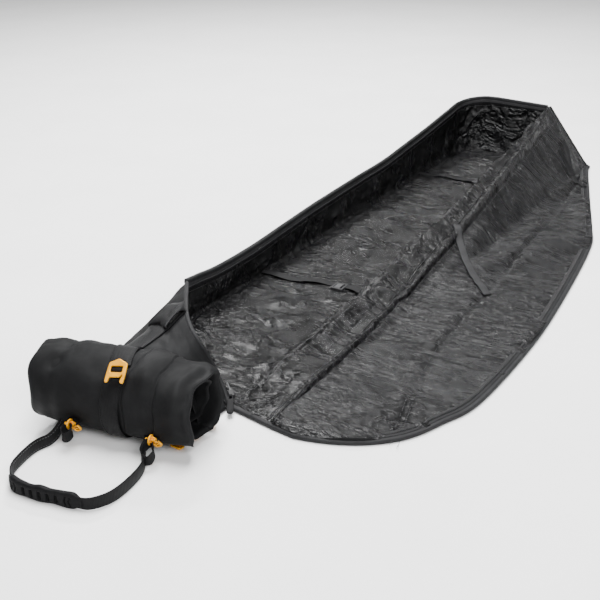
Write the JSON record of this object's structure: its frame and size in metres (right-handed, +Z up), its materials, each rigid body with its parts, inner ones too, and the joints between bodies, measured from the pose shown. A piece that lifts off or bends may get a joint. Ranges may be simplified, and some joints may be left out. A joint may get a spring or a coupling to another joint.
{
  "type": "ski bag",
  "caption": "Long padded ski bag lying open: tray with a leaf-shaped zip lid folded out, closed tail hood, rolled tail held by a hook, carry handle and inner straps.",
  "frame": {"origin": "on the ground under the middle of the floor panel", "axes": "+X along the bag to its far end, +Y to the standing left wall, +Z up"},
  "size_m": [2.2849, 0.7102, 0.1851],
  "materials": {
    "outer_fabric": "matt woven polyester",
    "padding": "closed-cell foam",
    "body_lining": "shiny ripstop",
    "lid_lining": "satin ripstop",
    "edge_binding": "ribbed binding",
    "zip_tape": "coil zip tape",
    "webbing": "woven webbing",
    "gold_alloy": "gold anodised",
    "grip_rubber": "matt moulded",
    "dark_metal": "satin",
    "black_plastic": "matt moulded"
  },
  "bodies": {
    "bag_body": {"floor_shell": "outer_fabric", "left_wall_shell": "outer_fabric", "end_wall_shell": "outer_fabric", "right_wall_shell": "outer_fabric", "hood_shell": "outer_fabric", "tail_roll": "outer_fabric", "floor_foam": "padding", "left_wall_foam": "padding", "end_wall_foam": "padding", "right_wall_foam": "padding", "floor_lining": "body_lining", "left_wall_lining": "body_lining", "end_wall_lining": "body_lining", "right_wall_lining": "body_lining", "left_rim_binding": "edge_binding", "end_rim_binding": "edge_binding", "hood_binding": "edge_binding", "left_rim_zip": "zip_tape", "end_rim_zip": "zip_tape", "zip_track": "zip_tape", "roll_strap_upper": "webbing", "roll_strap_lower": "webbing", "strap_loop": "webbing", "hood_band": "webbing", "anchor_tab_left": "webbing", "anchor_tab_right": "webbing", "ski_strap_mid": "webbing", "ski_strap_far": "webbing", "anchor_left": "gold_alloy", "anchor_right": "gold_alloy", "spare_anchors": "gold_alloy", "mid_buckle": "black_plastic", "far_buckle": "black_plastic"},
    "right_flap": {"right_flap_shell": "outer_fabric", "right_flap_foam": "padding", "right_flap_lining": "body_lining"},
    "lid_inner": {"lid_inner_shell": "outer_fabric", "lid_inner_foam": "padding", "lid_inner_lining": "lid_lining"},
    "lid_outer": {"lid_outer_shell": "outer_fabric", "lid_outer_foam": "padding", "lid_outer_lining": "lid_lining", "lid_binding": "edge_binding", "lid_zip": "zip_tape", "pole_band": "webbing", "pole_tie_near": "webbing", "pole_tie_far": "webbing"},
    "roll_hook": {"roll_hook": "gold_alloy"},
    "handle": {"handle_webbing": "webbing", "handle_grip": "grip_rubber", "handle_hook_left": "gold_alloy", "handle_hook_right": "gold_alloy"},
    "zip_slider": {"zip_slider": "dark_metal"},
    "zip_pull": {"pull_link": "dark_metal", "pull_tab": "grip_rubber"},
    "mid_lever": {"mid_lever": "black_plastic"},
    "far_lever": {"far_lever": "black_plastic"}
  },
  "joints": [
    {"name": "right_flap_fold", "type": "hinge", "parent": "bag_body", "child": "right_flap", "pos_m": [-0.935, -0.15, 0], "axis": [-0.9951, 0, -0.0984], "range_deg": [0, 87]},
    {"name": "lid_ridge_fold", "type": "hinge", "parent": "right_flap", "child": "lid_inner", "pos_m": [-0.955, -0.254, 0], "axis": [-0.9938, -0.0547, -0.0973], "range_deg": [0, 116]},
    {"name": "lid_break_fold", "type": "hinge", "parent": "lid_inner", "child": "lid_outer", "pos_m": [-0.955, -0.254, 0], "axis": [0.9998, -0.0217, 0], "range_deg": [0, 51]},
    {"name": "roll_hook_lift", "type": "hinge", "parent": "bag_body", "child": "roll_hook", "pos_m": [-1.10641, -0.03519, 0.15965], "axis": [-0.1959, 0.9806, 0], "range_deg": [0, 100]},
    {"name": "handle_swing", "type": "hinge", "parent": "bag_body", "child": "handle", "pos_m": [-1.1683, -0.05164, 0.046], "axis": [-0.1959, 0.9806, 0], "range_deg": [0, 80]},
    {"name": "zip_slide", "type": "slide", "parent": "bag_body", "child": "zip_slider", "axis": [0.624, 0.702, 0.3432], "range_m": [0, 0.024]},
    {"name": "zip_pull_swing", "type": "hinge", "parent": "zip_slider", "child": "zip_pull", "pos_m": [-0.921, -0.138, 0.0225], "axis": [-0.5299, 0.848, 0], "range_deg": [0, 70]},
    {"name": "mid_lever_lift", "type": "hinge", "parent": "bag_body", "child": "mid_lever", "pos_m": [-0.36, -0.0622, 0.0184], "axis": [-1, 0, 0], "range_deg": [0, 80]},
    {"name": "far_lever_lift", "type": "hinge", "parent": "bag_body", "child": "far_lever", "pos_m": [0.565, -0.0522, 0.0184], "axis": [-1, 0, 0], "range_deg": [0, 80]}
  ],
  "couplings": [
    {"joint": "lid_break_fold", "follows": "lid_ridge_fold", "ratio": 0.4392}
  ]
}
